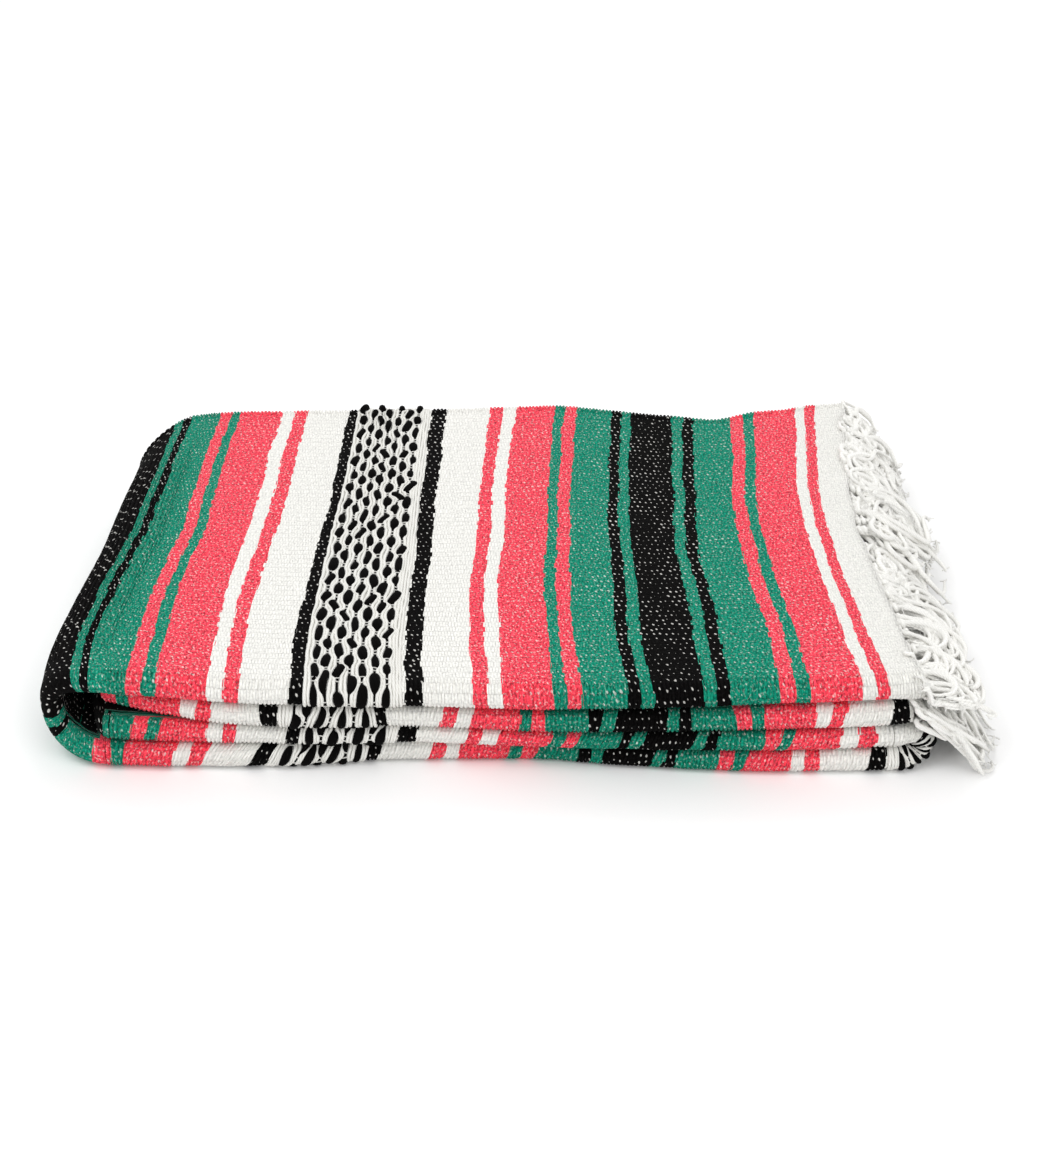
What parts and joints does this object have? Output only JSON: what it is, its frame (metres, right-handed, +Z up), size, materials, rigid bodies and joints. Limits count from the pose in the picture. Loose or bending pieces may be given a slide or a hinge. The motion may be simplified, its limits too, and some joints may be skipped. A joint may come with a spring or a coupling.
{
  "type": "striped woven blanket",
  "caption": "Flat-woven blanket with cross stripes and a knotted fringe, folded into a low stack of soft layers and laid flat.",
  "frame": {"origin": "on the surface the blanket lies on, under the middle of its outline", "axes": "+X along the folded length, from the left fold towards the fringe; +Y from the front fold to the back edge; +Z up"},
  "size_m": [0.4946, 0.3222, 0.0528],
  "materials": {
    "woven_green": "matt flat weave of green yarn over white warp",
    "woven_pink": "matt flat weave of coral pink yarn over white warp",
    "woven_white": "matt flat weave of undyed white yarn",
    "woven_black": "matt flat weave of black yarn over white warp",
    "fringe_cotton": "loose twisted white warp yarn"
  },
  "bodies": {
    "root": {"top_stretch": "woven_green", "second_stretch": "woven_pink", "third_stretch": "woven_white", "bottom_stretch": "woven_black", "top_fringe": "fringe_cotton", "second_fringe": "fringe_cotton"}
  },
  "joints": []
}
